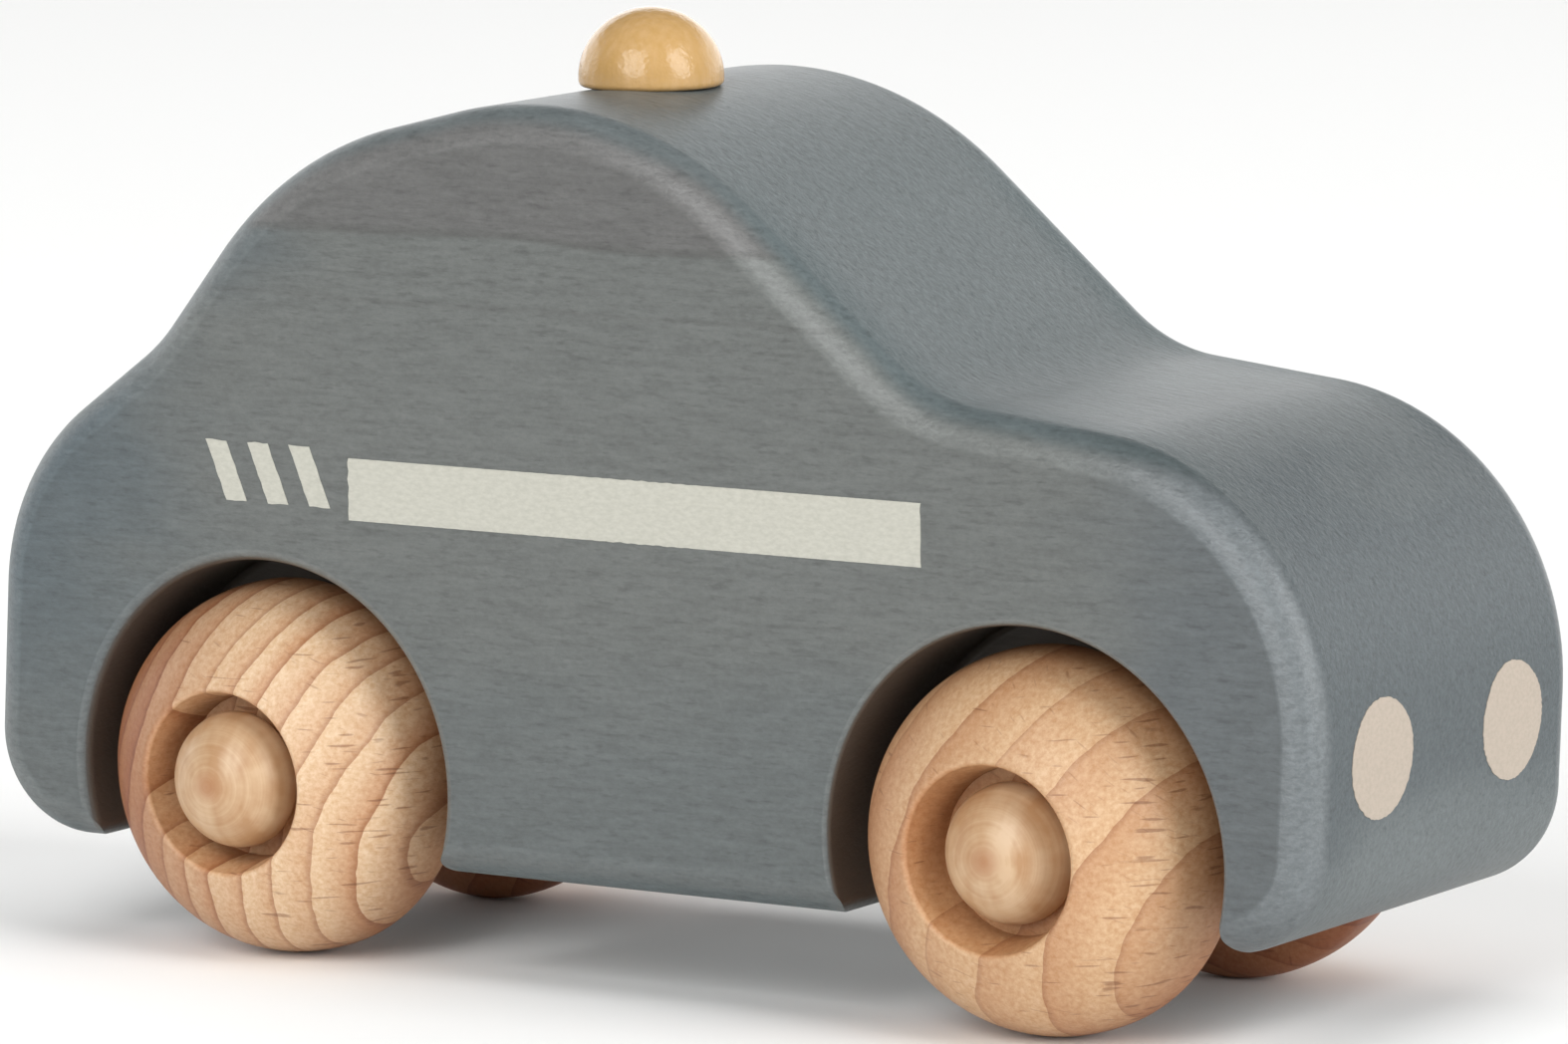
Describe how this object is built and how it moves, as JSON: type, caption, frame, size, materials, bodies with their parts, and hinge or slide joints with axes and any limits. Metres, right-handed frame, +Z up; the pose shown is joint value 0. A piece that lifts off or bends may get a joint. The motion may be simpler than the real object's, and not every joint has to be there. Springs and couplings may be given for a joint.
{
  "type": "toy police car",
  "caption": "Wooden toy police car: a rounded stained block with a half-round roof light and printed marks, rolling on domed wheels that turn on headed pegs.",
  "frame": {"origin": "on the ground under the middle of the body, where the wheels stand", "axes": "+X to the nose, +Y to the car's left, +Z up"},
  "size_m": [0.1501, 0.0632, 0.0923],
  "materials": {
    "stained_beech": "blue-grey stain, matt",
    "amber_paint": "amber paint, satin",
    "wheel_beech": "turned, bare, matt",
    "peg_wood": "turned, bare, satin",
    "print": "screen-printed film, matt"
  },
  "bodies": {
    "car": {"body": "stained_beech", "roof_light": "amber_paint", "roof_light_dowel": "wheel_beech", "front_right_peg": "peg_wood", "front_left_peg": "peg_wood", "rear_right_peg": "peg_wood", "rear_left_peg": "peg_wood", "right_stripe": "print", "left_stripe": "print", "right_dashes": "print", "left_dashes": "print", "right_headlamp": "print", "left_headlamp": "print"},
    "front_right_roller": {"front_right_wheel": "wheel_beech"},
    "front_left_roller": {"front_left_wheel": "wheel_beech"},
    "rear_right_roller": {"rear_right_wheel": "wheel_beech"},
    "rear_left_roller": {"rear_left_wheel": "wheel_beech"}
  },
  "joints": [
    {"name": "front_right_spin", "type": "hinge", "parent": "car", "child": "front_right_roller", "pos_m": [0.0428, -0.0201, 0.0183], "axis": [0, 1, 0], "continuous": true},
    {"name": "front_left_spin", "type": "hinge", "parent": "car", "child": "front_left_roller", "pos_m": [0.0428, 0.0201, 0.0183], "axis": [0, 1, 0], "continuous": true},
    {"name": "rear_right_spin", "type": "hinge", "parent": "car", "child": "rear_right_roller", "pos_m": [-0.0439, -0.0201, 0.0183], "axis": [0, 1, 0], "continuous": true},
    {"name": "rear_left_spin", "type": "hinge", "parent": "car", "child": "rear_left_roller", "pos_m": [-0.0439, 0.0201, 0.0183], "axis": [0, 1, 0], "continuous": true}
  ]
}
